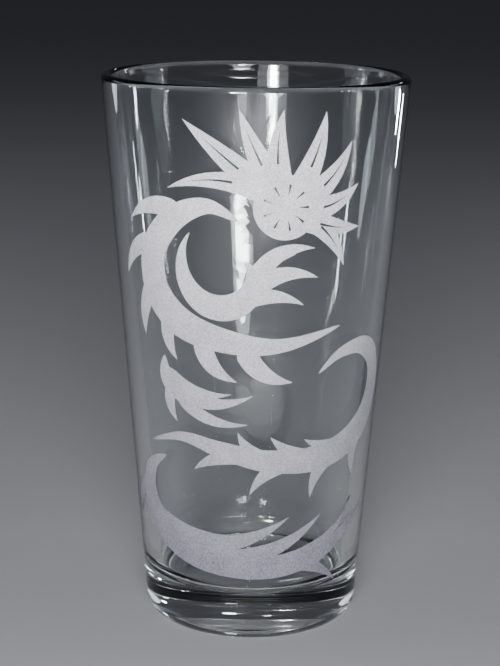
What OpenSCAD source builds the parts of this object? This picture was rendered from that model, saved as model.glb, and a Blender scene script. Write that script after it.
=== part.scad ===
// Straight-sided pint mixing glass with a heavy base and an etched leaf scroll on its front.
// Origin: centre of the foot, on the surface the glass stands on. +Z is up, -Y is the etched front.

/* [Body] */
// Overall height of the glass
height = 162; // [150:1:176]
// Diameter of the tapered wall where it would meet the table
foot_d = 63.5; // [60:0.5:68]
// Diameter of the tapered wall carried up to the top of the glass
mouth_d = 89.1; // [84:0.1:92]
// Wall thickness just under the rim
rim_wall = 3; // [2.2:0.1:3.4]
// Wall thickness where the side meets the floor
low_wall = 5.2; // [4:0.1:6]
// Thickness of the solid base under the floor
base_thick = 13; // [9:0.5:16]

/* [Rounding] */
// Radius of the rounded heel
heel_r = 4; // [2:0.5:6]
// Radius of the corner between the inner wall and the floor
floor_r = 6; // [3:0.5:9]
// Inner radius of the flat ring that the glass stands on
ring_r = 22; // [18:0.5:24]
// Depth of the hollow under the base
punt_h = 1.6; // [0.8:0.1:2.5]

/* [Etching] */
// Thickness of the etched skins
etch_t = 0.15; // [0.1:0.01:0.3]
// Clearance between the etched skins and the wall
etch_gap = 0.05; // [0.03:0.01:0.1]

/* [Hidden] */
turn_fn = 180;       // facets of every turned shape
arc_steps = 8;       // straight steps in each rounded corner of the profile
edge_steps = 12;     // steps along each edge of a blade
stem_steps = 6;      // steps between two points of a stem
curl_steps = 16;     // points along the curl
bud_steps = 40;      // steps round the bud
front_depth = 60;    // reach of the outlines towards the front
front_start = 4;     // distance in front of the axis where the outlines start
rim_clear = 4.4;     // clear band between the etched skins and the top of the glass
small_step = 0.005;  // half the run over which the direction of a curve is taken

glass_colour = [0.78, 0.86, 0.90, 0.45];
etch_colour = [0.93, 0.94, 0.96];

taper = (mouth_d - foot_d) / 2 / height;             // outward run of the wall per millimetre of height
slope = atan(taper);                                 // lean of the outer wall from upright
floor_wall_r = wall_r(base_thick) - low_wall;        // inner radius at floor level
mouth_r = mouth_d / 2 - rim_wall;                    // inner radius at the top
inner_taper = (mouth_r - floor_wall_r) / (height - base_thick);
inner_slope = atan(inner_taper);
lip_r = rim_wall / 2;                                // half the thickness of the rim, rounded right over
lip_c = [wall_r(height - lip_r) - lip_r / cos(slope), height - lip_r];
heel_c = [wall_r(heel_r) - heel_r / cos(slope), heel_r];
floor_c = [floor_wall_r + floor_r * inner_taper - floor_r / cos(inner_slope), base_thick + floor_r];
punt_r = (ring_r * ring_r + punt_h * punt_h) / (2 * punt_h);
punt_half_angle = asin(ring_r / punt_r);

// Shape of a blade: how far along it the foot is rounded, how full its sides are, and its clear vein
foot_run = 0.2;
fullness = 1.6;
vein_start = 0.45;
vein_end = 0.82;
vein_half = 0.35;    // half the width of the clear vein where it starts
stem_taper = 0.85;   // power that points both ends of a stem

// Stems of the scroll as [points, half width]. A point of the unrolled wall is
// [distance round from the front, height], and the points are round numbers set out by hand.
upper_stem = [[[-4, 126], [-13, 130], [-23, 126], [-30.5, 116.5], [-30, 105.5], [-22, 97], [-9, 92.5],
               [7, 91], [26, 95.5]], 4.8];
sprig_stem = [[[-27, 86], [-26.5, 80], [-22, 75.5], [-15, 73]], 2.6];
right_stem = [[[19, 82], [26, 87], [35, 88], [42, 83], [43.5, 74.5], [39, 65.5], [30, 59.5], [18, 56.5],
               [4, 57], [-9, 60], [-21, 62.5], [-33, 59]], 4.2];
base_stem = [[[-27, 55.5], [-33, 51.5], [-35.5, 44], [-32, 35.5], [-21, 28.5], [-7, 25], [8, 24],
              [23, 27], [42, 38]], 4.6];

// Curl inside the upper stem: its middle, its first and last radius and its first and last angle
curl_c = [-6.8, 112];
curl_radii = [15.5, 5];
curl_angles = [138, 392];
curl_stem = [[for (i = [0:curl_steps]) curl_c + mix(curl_radii[0], curl_radii[1], i / curl_steps)
              * turned([1, 0], mix(curl_angles[0], curl_angles[1], i / curl_steps))], 3.7];

// Blades that spring from each stem, as [place along the stem, side, length, half width,
// lean away from the stem, sideways bow]
upper_blades = [[0.22, -1, 20, 2.6, 20, -3], [0.35, -1, 18, 2.6, 22, -3], [0.48, -1, 17, 2.5, 30, -2],
                [0.59, -1, 14, 2.3, 40, -2], [0.7, -1, 17, 2.7, 36, -3], [0.8, -1, 18, 2.8, 30, -3]];
curl_blades = [[0.54, -1, 20, 2.3, 18, 3], [0.65, -1, 21, 2.5, 34, 4], [0.76, -1, 20, 2.4, 48, 4],
               [0.85, -1, 13, 1.9, 78, 1.5]];
sprig_blades = [[0.2, 1, 22, 2, 72, -3], [0.42, 1, 26, 2.1, 48, -4], [0.62, 1, 23, 1.9, 14, -3],
                [0.5, -1, 11, 1.8, 34, -1.5]];
right_blades = [[0.14, -1, 15, 2, 22, 2], [0.25, -1, 16, 2.2, 30, 2], [0.35, -1, 17, 2.3, 34, 2],
                [0.44, -1, 17, 2.4, 35, 2], [0.53, -1, 17, 2.4, 35, 2], [0.62, -1, 17, 2.4, 35, 2],
                [0.71, -1, 14, 2.2, 34, 2], [0.46, 1, 18, 2.3, 30, -3], [0.56, 1, 18, 2.4, 32, -3],
                [0.66, 1, 18, 2.4, 32, -3], [0.76, 1, 17, 2.2, 30, -2]];
base_blades = [[0.22, -1, 15, 2, 20, -2], [0.34, 1, 36, 2.8, 55, -4], [0.45, 1, 38, 2.7, 43, -4],
               [0.56, 1, 38, 2.6, 33, -4], [0.67, 1, 36, 2.6, 28, -4], [0.78, 1, 28, 2.3, 23, -3],
               [0.7, -1, 27, 2.4, 14, 4]];

// Blossom: the middle and radius of its bud, its petals as [angle, reach, half width, bow],
// and the ring of clear slits in its bud
bud_c = [8.5, 130];
bud_r = 9;
petals = [[173, 34, 2.8, -5], [141, 37, 3.4, 0], [116, 29.5, 3.3, 1], [92, 26.5, 3.3, 2],
          [67, 28, 3.3, -2], [42, 26, 3.3, -3], [14, 23, 3.3, -3], [-16, 24, 3.3, -2], [-44, 25, 3.1, 3]];
bud_slits = 9;
slit_reach = [3.2, 6.4];

function wall_r(z) = foot_d / 2 + taper * z;
function mix(a, b, t) = a + (b - a) * t;
function unit(v) = v / norm(v);
function left_of(v) = [-v[1], v[0]];
function turned(v, a) = [v[0] * cos(a) - v[1] * sin(a), v[0] * sin(a) + v[1] * cos(a)];

// Points of an arc of radius r about c, from angle a to angle b
function arc(c, r, a, b, steps = arc_steps) =
    [for (i = [0:steps]) c + r * turned([1, 0], mix(a, b, i / steps))];

// Smooth curve through a run of points, at t from 0 to 1
function along(p, t) =
    let (n = len(p) - 1, s = min(floor(t * n), n - 1), f = t * n - s)
    let (a = p[max(s - 1, 0)], b = p[s], c = p[s + 1], d = p[min(s + 2, n)])
    b + ((c - a) * f + (2 * a - 5 * b + 4 * c - d) * f * f + (3 * b - a - 3 * c + d) * f * f * f) / 2;

// Direction of travel of that curve
function heading(p, t) = unit(along(p, min(t + small_step, 1)) - along(p, max(t - small_step, 0)));

// Half width of a stem, pointed at both ends
function stem_half(stem, t) = stem[1] * pow(abs(sin(180 * t)), stem_taper);

// Point beside a stem, off to the left of its direction of travel
function beside_stem(stem, t, off) = along(stem[0], t) + left_of(heading(stem[0], t)) * off;

// Closed outline of a stem
function stem_outline(stem) = let (n = stem_steps * (len(stem[0]) - 1)) concat(
    [for (i = [0:n]) beside_stem(stem, i / n, stem_half(stem, i / n))],
    [for (i = [n - 1:-1:1]) beside_stem(stem, i / n, -stem_half(stem, i / n))]);

// Point off to the left of the bowed midrib that runs from one end of a blade to the other
function rib(ends, bow, t) =
    mix(ends[0], ends[1], t) + left_of(unit(ends[1] - ends[0])) * bow * 4 * t * (1 - t);
function beside_rib(ends, bow, t, off) = rib(ends, bow, t)
    + left_of(unit(rib(ends, bow, t + small_step) - rib(ends, bow, t - small_step))) * off;

// Half width along a blade: round at the foot, full in the middle, pointed at the tip
function blade_half(t, half) =
    half * (1 - t) * (1 + fullness * t) * sqrt(1 - pow(1 - min(t / foot_run, 1), 2));

// Closed outline of a blade from its foot to its tip
function blade_outline(ends, half, bow) = let (n = edge_steps) concat(
    [for (i = [0:n]) beside_rib(ends, bow, i / n, blade_half(i / n, half))],
    [for (i = [n - 1:-1:1]) beside_rib(ends, bow, i / n, -blade_half(i / n, half))]);

// Point beside the vein of a petal, part f of the way along it, on its left (1) or its right (-1)
function beside_vein(ends, bow, f, side) =
    beside_rib(ends, bow, mix(vein_start, vein_end, f), side * vein_half * (1 - f));

// Closed outline of the clear vein of a petal
function vein_outline(ends, bow) = let (n = edge_steps) concat(
    [for (i = [0:n]) beside_vein(ends, bow, i / n, 1)],
    [for (i = [n - 1:-1:0]) beside_vein(ends, bow, i / n, -1)]);

// Closed outline of a clear slit in the bud, pointed at its inner end
function slit_outline(a) = let (inner = slit_reach[0], outer = slit_reach[1])
    [for (q = [[inner, 0], [outer, -vein_half], [outer, vein_half]]) bud_c + turned(q, a)];

// Foot and tip of a petal
function petal_ends(petal) = [bud_c, bud_c + turned([petal[1], 0], petal[0])];

// Wraps a point of the unrolled wall onto the cone, as seen square on from the front
function wrapped(q) = let (r = wall_r(q[1])) [r * sin(q[0] / r * 180 / PI), q[1]];

// Closed section of the glass, to be turned about the axis
function glass_section() = concat(
    [[0, punt_h]],
    [for (i = [1:arc_steps]) let (a = punt_half_angle * i / arc_steps)
        [punt_r * sin(a), punt_h - punt_r * (1 - cos(a))]],
    arc(heel_c, heel_r, -90, -slope),
    arc(lip_c, lip_r, -slope, 90),
    arc(lip_c, lip_r, 90 + 90 / arc_steps, 180 - inner_slope),
    arc(floor_c, floor_r, -inner_slope, -90),
    [[0, base_thick]]);

module glass() {
    color(glass_colour) rotate_extrude($fn = turn_fn) polygon(glass_section());
}

// Cone-shaped skin that the etched shapes are cut from
module wall_skin() {
    low = base_thick;
    high = height - rim_clear;
    inner = etch_gap / cos(slope);
    outer = (etch_gap + etch_t) / cos(slope);
    rotate_extrude($fn = turn_fn) polygon([
        [wall_r(low) + inner, low], [wall_r(low) + outer, low],
        [wall_r(high) + outer, high], [wall_r(high) + inner, high]]);
}

// Pushes one outline of the unrolled wall forward through the skin
module outline_block(points) {
    translate([0, -front_start, 0]) rotate([90, 0, 0]) linear_extrude(front_depth)
        polygon([for (q = points) wrapped(q)]);
}

// Keeps the part of the skin that its children cover
module etched() {
    color(etch_colour) intersection() {
        wall_skin();
        union() children();
    }
}

// A stem with the blades that spring from it and lean away from its direction of travel
module branch(stem, blades) {
    outline_block(stem_outline(stem));
    for (blade = blades) {
        t = blade[0];
        side = blade[1];
        foot = along(stem[0], t);
        tip = foot + turned(heading(stem[0], t), side * blade[4]) * blade[2];
        outline_block(blade_outline([foot, tip], blade[3], blade[5]));
    }
}

// Bud and petals at the top of the scroll, each petal with a clear vein
module etched_blossom() {
    etched() difference() {
        union() {
            outline_block(arc(bud_c, bud_r, 0, 360, bud_steps));
            for (petal = petals) outline_block(blade_outline(petal_ends(petal), petal[2], petal[3]));
        }
        for (petal = petals) outline_block(vein_outline(petal_ends(petal), petal[3]));
        for (i = [1:bud_slits]) outline_block(slit_outline(360 * i / bud_slits));
    }
}

module etched_upper_scroll() {
    etched() branch(upper_stem, upper_blades);
}

module etched_curl() {
    etched() branch(curl_stem, curl_blades);
}

// Small branch between the two large stems
module etched_sprig() {
    etched() branch(sprig_stem, sprig_blades);
}

module etched_right_scroll() {
    etched() branch(right_stem, right_blades);
}

module etched_base_scroll() {
    etched() branch(base_stem, base_blades);
}

glass();
etched_blossom();
etched_upper_scroll();
etched_curl();
etched_sprig();
etched_right_scroll();
etched_base_scroll();
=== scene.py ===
"""Pint glass with an etched leaf scroll: looks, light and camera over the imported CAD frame."""

import math

import bpy
from mathutils import Euler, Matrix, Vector


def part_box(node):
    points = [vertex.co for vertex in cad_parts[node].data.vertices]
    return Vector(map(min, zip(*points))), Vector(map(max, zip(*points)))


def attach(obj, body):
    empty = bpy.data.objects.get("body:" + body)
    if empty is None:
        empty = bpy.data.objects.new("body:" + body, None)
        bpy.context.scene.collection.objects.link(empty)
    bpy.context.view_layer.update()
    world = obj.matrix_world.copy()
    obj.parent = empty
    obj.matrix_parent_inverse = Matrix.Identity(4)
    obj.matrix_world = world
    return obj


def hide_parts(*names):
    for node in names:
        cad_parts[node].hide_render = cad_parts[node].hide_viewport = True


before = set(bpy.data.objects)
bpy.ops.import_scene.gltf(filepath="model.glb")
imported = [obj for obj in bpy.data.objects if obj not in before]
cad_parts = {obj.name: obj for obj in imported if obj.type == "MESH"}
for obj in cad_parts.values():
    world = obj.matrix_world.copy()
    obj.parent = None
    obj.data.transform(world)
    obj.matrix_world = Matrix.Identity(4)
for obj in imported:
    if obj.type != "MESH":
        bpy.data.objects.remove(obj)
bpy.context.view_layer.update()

MM = 0.001

# Glass section, in metres, on the outer sizes that the frame gives
GLASS_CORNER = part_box("glass")[1]
HEIGHT = GLASS_CORNER.z
RIM_R = GLASS_CORNER.x
FOOT_R = 31.75 * MM        # the outer wall carried down to the table
RIM_WALL = 3.0 * MM
LIP_R = RIM_WALL / 2
TAPER = (RIM_R - FOOT_R) / (HEIGHT - LIP_R)
LOW_WALL = 5.2 * MM        # wall at the inside floor
BASE_THICK = 13.0 * MM
HEEL_R = 4.0 * MM
FLOOR_CORNER_R = 6.0 * MM
RING_R = 22.0 * MM         # inner radius of the flat ring that the glass stands on
PUNT_HEIGHT = 1.6 * MM     # depth of the hollow under the base

# Fineness of the turned mesh
TURN_STEPS = 288
ARC_STEPS = 20
RING_PITCH = 2.5 * MM
ON_AXIS = 0.0001 * MM
SHARP_ANGLE = math.radians(35)

# Unevenness of the pressed wall: how deep it is, the height over which it starts and stops, and its
# ripples as share, waves round the glass, radians per metre of height, and start in radians
WAVE = 0.03 * MM
WAVE_FADE = BASE_THICK
RIPPLES = ((0.5, 3, 30, 1.0), (0.3, 7, -55, 0.0), (0.2, 2, 140, 2.0))

# Materials. Texture scales are per metre, and a band is the part of a noise that is used.
CLEAR_TINT = (0.965, 0.985, 0.985, 1)
CLEAR_IOR = 1.51
SMEAR_SCALE = 22
SMEAR_DETAIL = 3.0
SMEAR_STRETCH = (1, 1, 0.5)
SMEAR_BAND = (0.5, 0.8)
SMEAR_ROUGHNESS = 0.03

FROST_IOR = 1.5
FROST_ROUGHNESS = 0.7
FROST_TRANSMISSION = 0.35
FROST_PAINTED_SHADE_RISE = (0.02, 0.13)  # heights over which the painted shade on the frosting fades, so that it gets lighter upwards
# Frosting colours, the dark and light ends of its mottle: the low ones hold painted shade towards the base,
# the high ones are lighter, as if lit more from above.
FROST_PAINTED_SHADE_DARK = (0.18, 0.175, 0.22, 1)
FROST_HIGH_DARK = (0.62, 0.61, 0.67, 1)
FROST_PAINTED_SHADE_LIGHT = (0.38, 0.375, 0.44, 1)
FROST_HIGH_LIGHT = (0.99, 0.98, 1.0, 1)
GRAIN_SCALE = 2600
GRAIN_DETAIL = 1.0
GRAIN_BAND = (0.39, 0.61)
GRAIN_SHARE = 0.75
GRAIN_BUMP = 0.6
GRAIN_DEPTH = 0.1 * MM
BLOTCH_SCALE = 200
BLOTCH_DETAIL = 3.0
BLOTCH_BAND = (0.32, 0.68)
BLOTCH_SHARE = 1 - GRAIN_SHARE

# Stage
FLOOR_DROP = 0.05 * MM     # the floor lies this far under the foot, so that the two never share a plane
FLOOR_HALF = 6.0
FLOOR_COLOUR = (0.50, 0.50, 0.52, 1)
FLOOR_ROUGHNESS = 0.85
WORLD_COLOUR = (0.25, 0.26, 0.29, 1)
WORLD_STRENGTH = 0.2
HIGHLIGHT_CLAMP = 60.0     # high, so that streaks seen through the glass stay white
VIEW_LOOK = "AgX - Medium High Contrast"

# Lamps, each turned towards the glass: name, place, width and height, power in watts, colour
WHITE = (1, 1, 1)
COOL = (0.88, 0.93, 1.0)

# They light the floor and the frosting, and leave no mirror image in the clear glass.
MATT_LAMPS = (
    ("key", (0.06, -0.80, 0.31), (0.36, 0.20), 3.4, WHITE),
    ("front_fill", (-0.06, -0.62, 0.16), (0.24, 0.20), 3.0, WHITE),
)
# They only make highlights. Those in front make the tall streak and the glints at the rim and in the
# base, with wider halos round them. Those beside and behind make streaks near both sides of the wall.
GLOSS_LAMPS = (
    ("top_spark", (0.05, -0.75, 0.52), (0.10, 0.05), 0.4, WHITE),
    ("front_glow", (-0.155, -0.61, 0.19), (0.30, 0.26), 0.35, WHITE),
    ("front_halo", (-0.155, -0.60, 0.19), (0.11, 0.20), 0.7, WHITE),
    ("front_spark", (-0.155, -0.58, 0.195), (0.065, 0.16), 3.2, WHITE),
    ("low_halo", (0.125, -0.60, 0.09), (0.24, 0.15), 0.7, WHITE),
    ("low_spark", (0.125, -0.59, 0.09), (0.15, 0.11), 1.6, WHITE),
    ("left_spark", (-0.60, 0.07, 0.045), (0.03, 0.05), 0.12, COOL),
    ("right_spark", (0.42, 0.46, 0.045), (0.03, 0.05), 0.12, COOL),
    ("back_spark", (0.11, 0.9, 0.45), (0.08, 0.05), 0.035, COOL),
    ("back_side_spark", (0.62, 0.68, 0.40), (0.10, 0.05), 0.15, COOL),
    ("back_left", (-0.85, 0.55, 0.46), (0.40, 0.22), 0.25, COOL),
    ("back_right", (0.85, 0.50, 0.46), (0.40, 0.22), 0.25, COOL),
    ("left_low", (-0.60, 0.42, 0.065), (0.12, 0.08), 0.09, COOL),
    ("right_low", (0.60, 0.42, 0.065), (0.12, 0.08), 0.07, COOL),
)
# Large dim panels at the sides and overhead light everything.
PANELS = (
    ("left_panel", (-1.1, 0.1, 0.50), (0.8, 0.9), 1.6, COOL),
    ("right_panel", (1.1, 0.1, 0.50), (0.8, 0.9), 1.3, COOL),
    ("overhead", (0.0, 0.25, 1.1), (0.8, 0.6), 0.6, WHITE),
)

# Camera: where it stands from the glass, how it is tilted, and its lens on a sensor of this height in mm
CAMERA_DISTANCE = 0.474
CAMERA_HEIGHT = 0.2045
CAMERA_PITCH = math.radians(14.15)
CAMERA_YAW = math.radians(0.12)
CAMERA_ROLL = math.radians(0.6)
CAMERA_LENS = 88.6
SENSOR_HEIGHT = 36.0


def wall_radius(z):
    """Outer radius of the tapered wall at height z."""
    return FOOT_R + TAPER * z


def arc(centre, radius, start, end, steps=ARC_STEPS):
    """Points of an arc in the section plane, angles in radians from outward to up."""
    points = []
    for i in range(steps + 1):
        a = start + (end - start) * i / steps
        points.append((centre[0] + radius * math.cos(a), centre[1] + radius * math.sin(a)))
    return points


def divided(points, pitch):
    """The same outline with no step longer than pitch."""
    out = [points[0]]
    for a, b in zip(points, points[1:]):
        steps = max(1, math.ceil(math.dist(a, b) / pitch))
        for i in range(1, steps + 1):
            out.append((a[0] + (b[0] - a[0]) * i / steps, a[1] + (b[1] - a[1]) * i / steps))
    return out


def glass_outline():
    """Half section of the glass, from the axis under the base, over the rim, to the axis on the floor."""
    slope = math.atan(TAPER)
    floor_wall_r = wall_radius(BASE_THICK) - LOW_WALL
    mouth_r = wall_radius(HEIGHT) - RIM_WALL
    inner_taper = (mouth_r - floor_wall_r) / (HEIGHT - BASE_THICK)
    inner_slope = math.atan(inner_taper)
    lip_c = (wall_radius(HEIGHT - LIP_R) - LIP_R / math.cos(slope), HEIGHT - LIP_R)
    heel_c = (wall_radius(HEEL_R) - HEEL_R / math.cos(slope), HEEL_R)
    floor_c = (floor_wall_r + FLOOR_CORNER_R * inner_taper - FLOOR_CORNER_R / math.cos(inner_slope),
               BASE_THICK + FLOOR_CORNER_R)
    punt_r = (RING_R ** 2 + PUNT_HEIGHT ** 2) / (2 * PUNT_HEIGHT)
    punt_angle = math.asin(RING_R / punt_r)
    quarter_turn = math.pi / 2
    outline = arc((0, PUNT_HEIGHT - punt_r), punt_r, quarter_turn, quarter_turn - punt_angle)
    outline += arc(heel_c, HEEL_R, -quarter_turn, -slope)
    outline += arc(lip_c, LIP_R, -slope, math.pi - inner_slope, 2 * ARC_STEPS)
    outline += arc(floor_c, FLOOR_CORNER_R, -inner_slope, -quarter_turn)
    outline += [(0, BASE_THICK)]
    return divided(outline, RING_PITCH)


def unevenness(angle, z):
    """Slow ripple of a pressed wall, from -1 to 1."""
    return sum(share * math.sin(waves * angle + climb * z + start) for share, waves, climb, start in RIPPLES)


def wave_share(z):
    """How much of the unevenness shows at height z: none in the base or at the rim, all in between."""
    return min(1.0, max(0.0, (z - BASE_THICK) / WAVE_FADE), max(0.0, (HEIGHT - z) / WAVE_FADE))


def pressed_radius(r, z, angle):
    """Radius r, drawn in by the unevenness at height z and an angle round the glass."""
    return r - WAVE * wave_share(z) * (1 + unevenness(angle, z)) / 2


def turned_rings(outline):
    """Vertices of an outline turned about the Z axis, and for each of its points the ring of their
    numbers. A point on the axis is a single vertex, repeated round its ring."""
    verts = []
    rings = []
    for r, z in outline:
        if r < ON_AXIS:
            rings.append([len(verts)] * TURN_STEPS)
            verts.append((0.0, 0.0, z))
        else:
            rings.append(list(range(len(verts), len(verts) + TURN_STEPS)))
            for i in range(TURN_STEPS):
                angle = 2 * math.pi * i / TURN_STEPS
                radius = pressed_radius(r, z, angle)
                verts.append((radius * math.cos(angle), radius * math.sin(angle), z))
    return verts, rings


def ring_faces(rings):
    """Four-sided faces between neighbouring rings, and triangles where a ring is a single vertex."""
    faces = []
    for low, high in zip(rings, rings[1:]):
        for i in range(TURN_STEPS):
            j = (i + 1) % TURN_STEPS
            corners = [low[i], low[j], high[j], high[i]]
            faces.append(list(dict.fromkeys(corners)))
    return faces


def turned_mesh(name, outline):
    """Smooth mesh of an outline turned about the Z axis, with its sharp edges kept."""
    verts, rings = turned_rings(outline)
    mesh = bpy.data.meshes.new(name)
    mesh.from_pydata(verts, [], ring_faces(rings))
    mesh.validate()
    mesh.polygons.foreach_set("use_smooth", [True] * len(mesh.polygons))
    mesh.set_sharp_from_angle(angle=SHARP_ANGLE)
    return mesh


def new_material(name):
    """A node material, its node tree and its Principled node."""
    material = bpy.data.materials.new(name)
    material.use_nodes = True
    return material, material.node_tree, material.node_tree.nodes["Principled BSDF"]


def own_coordinates(tree):
    """The object's own coordinates, in metres."""
    return tree.nodes.new("ShaderNodeTexCoord").outputs["Object"]


def height_of(tree):
    """Height above the table."""
    split = tree.nodes.new("ShaderNodeSeparateXYZ")
    tree.links.new(own_coordinates(tree), split.inputs["Vector"])
    return split.outputs["Z"]


def noise(tree, scale, detail, stretch=(1, 1, 1)):
    """Noise over the object's own coordinates."""
    mapping = tree.nodes.new("ShaderNodeMapping")
    mapping.inputs["Scale"].default_value = stretch
    texture = tree.nodes.new("ShaderNodeTexNoise")
    texture.inputs["Scale"].default_value = scale
    texture.inputs["Detail"].default_value = detail
    tree.links.new(own_coordinates(tree), mapping.inputs["Vector"])
    tree.links.new(mapping.outputs["Vector"], texture.inputs["Vector"])
    return texture.outputs["Fac"]


def ranged(tree, value, band, highest):
    """Maps the values of a band to 0 up to highest."""
    node = tree.nodes.new("ShaderNodeMapRange")
    node.inputs["From Min"].default_value = band[0]
    node.inputs["From Max"].default_value = band[1]
    node.inputs["To Min"].default_value = 0.0
    node.inputs["To Max"].default_value = highest
    tree.links.new(value, node.inputs["Value"])
    return node.outputs["Result"]


def added(tree, first, second):
    """Sum of two values."""
    node = tree.nodes.new("ShaderNodeMath")
    node.operation = "ADD"
    tree.links.new(first, node.inputs[0])
    tree.links.new(second, node.inputs[1])
    return node.outputs[0]


def blended(tree, factor, low, high):
    """Colour between low and high by a factor. Each of the two is a colour or another node's output."""
    node = tree.nodes.new("ShaderNodeMix")
    node.data_type = "RGBA"
    for socket, value in (("A", low), ("B", high)):
        if isinstance(value, tuple):
            node.inputs[socket].default_value = value
        else:
            tree.links.new(value, node.inputs[socket])
    tree.links.new(factor, node.inputs["Factor"])
    return node.outputs["Result"]


def bumped(tree, shader, height, strength, distance):
    """Adds a bump from a height to the shader."""
    bump = tree.nodes.new("ShaderNodeBump")
    bump.inputs["Strength"].default_value = strength
    bump.inputs["Distance"].default_value = distance
    tree.links.new(height, bump.inputs["Height"])
    tree.links.new(bump.outputs["Normal"], shader.inputs["Normal"])


def clear_glass():
    """Clear glass with a faint cool tint and faint smears, longer upwards than round."""
    material, tree, shader = new_material("clear_glass")
    shader.inputs["Base Color"].default_value = CLEAR_TINT
    shader.inputs["Transmission Weight"].default_value = 1.0
    shader.inputs["IOR"].default_value = CLEAR_IOR
    smear = noise(tree, SMEAR_SCALE, SMEAR_DETAIL, SMEAR_STRETCH)
    tree.links.new(ranged(tree, smear, SMEAR_BAND, SMEAR_ROUGHNESS), shader.inputs["Roughness"])
    return material


def frosted_glass():
    """Sandblasted glass: fine grain and soft blotches from dark to light, both darker towards the base with
    painted shade.
    """
    material, tree, shader = new_material("frosted_glass")
    grain = noise(tree, GRAIN_SCALE, GRAIN_DETAIL)
    blotch = noise(tree, BLOTCH_SCALE, BLOTCH_DETAIL)
    # Painted shade: the frosting is darker towards the base and lighter upwards, as the light falls.
    painted_shade_fade = ranged(tree, height_of(tree), FROST_PAINTED_SHADE_RISE, 1.0)
    dark = blended(tree, painted_shade_fade, FROST_PAINTED_SHADE_DARK, FROST_HIGH_DARK)
    light = blended(tree, painted_shade_fade, FROST_PAINTED_SHADE_LIGHT, FROST_HIGH_LIGHT)
    mottle = added(tree,
                   ranged(tree, grain, GRAIN_BAND, GRAIN_SHARE),
                   ranged(tree, blotch, BLOTCH_BAND, BLOTCH_SHARE))
    tree.links.new(blended(tree, mottle, dark, light), shader.inputs["Base Color"])
    shader.inputs["Roughness"].default_value = FROST_ROUGHNESS
    shader.inputs["Transmission Weight"].default_value = FROST_TRANSMISSION
    shader.inputs["IOR"].default_value = FROST_IOR
    bumped(tree, shader, grain, GRAIN_BUMP, GRAIN_DEPTH)
    return material


def make_glass():
    """The glass itself, a finer mesh than the CAD node that it stands for."""
    mesh = turned_mesh("pint_glass", glass_outline())
    glass = bpy.data.objects.new("pint_glass", mesh)
    bpy.context.scene.collection.objects.link(glass)
    mesh.materials.append(clear_glass())
    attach(glass, "root")
    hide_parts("glass")


def dress_etching():
    """The etched CAD nodes keep their meshes and get the frosted material."""
    frosted = frosted_glass()
    for name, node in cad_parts.items():
        if name.startswith("etched_"):
            node.data.materials.clear()
            node.data.materials.append(frosted)


def make_floor():
    """A plain pale floor."""
    material, _, shader = new_material("studio_floor")
    shader.inputs["Base Color"].default_value = FLOOR_COLOUR
    shader.inputs["Roughness"].default_value = FLOOR_ROUGHNESS
    mesh = bpy.data.meshes.new("studio_floor")
    sides = [(-1, -1), (1, -1), (1, 1), (-1, 1)]
    mesh.from_pydata([(x * FLOOR_HALF, y * FLOOR_HALF, -FLOOR_DROP) for x, y in sides], [], [(0, 1, 2, 3)])
    mesh.materials.append(material)
    floor = bpy.data.objects.new("studio_floor", mesh)
    bpy.context.scene.collection.objects.link(floor)


def softbox(name, place, size, power, colour, lights="all"):
    """An oval lamp turned towards the middle of the glass. It lights all, or only "gloss" or "matt"."""
    light = bpy.data.lights.new(name, "AREA")
    light.shape = "ELLIPSE"
    light.size, light.size_y = size
    light.energy = power
    light.color = colour
    lamp = bpy.data.objects.new(name, light)
    lamp.location = place
    to_glass = Vector((0, 0, HEIGHT / 2)) - Vector(place)
    lamp.rotation_euler = to_glass.to_track_quat("-Z", "Y").to_euler()
    lamp.visible_camera = False
    lamp.visible_diffuse = lights != "gloss"
    lamp.visible_glossy = lights != "matt"
    lamp.visible_transmission = lights != "matt"
    bpy.context.scene.collection.objects.link(lamp)


def make_lamps():
    """All lamps, each lighting what its group is for."""
    for lamp in MATT_LAMPS:
        softbox(*lamp, lights="matt")
    for lamp in GLOSS_LAMPS:
        softbox(*lamp, lights="gloss")
    for lamp in PANELS:
        softbox(*lamp)


def make_world():
    """A dim room round the scene."""
    world = bpy.data.worlds.new("studio")
    world.use_nodes = True
    background = world.node_tree.nodes["Background"]
    background.inputs["Color"].default_value = WORLD_COLOUR
    background.inputs["Strength"].default_value = WORLD_STRENGTH
    bpy.context.scene.world = world


def set_view():
    """How the picture treats strong highlights and contrast."""
    bpy.context.scene.cycles.sample_clamp_indirect = HIGHLIGHT_CLAMP
    bpy.context.scene.view_settings.look = VIEW_LOOK


def make_camera():
    """The camera in front of the glass, looking a little down."""
    camera = bpy.data.cameras.new("camera")
    camera.sensor_fit = "VERTICAL"
    camera.sensor_height = SENSOR_HEIGHT
    camera.lens = CAMERA_LENS
    rig = bpy.data.objects.new("camera", camera)
    rig.location = (0, -CAMERA_DISTANCE, CAMERA_HEIGHT)
    look = Euler((math.pi / 2 - CAMERA_PITCH, 0, CAMERA_YAW), "XYZ").to_matrix()
    roll = Euler((0, 0, CAMERA_ROLL), "XYZ").to_matrix()
    rig.rotation_euler = (look @ roll).to_euler()
    bpy.context.scene.collection.objects.link(rig)
    bpy.context.scene.camera = rig


make_camera()
make_floor()
make_lamps()
make_world()
set_view()
make_glass()
dress_etching()
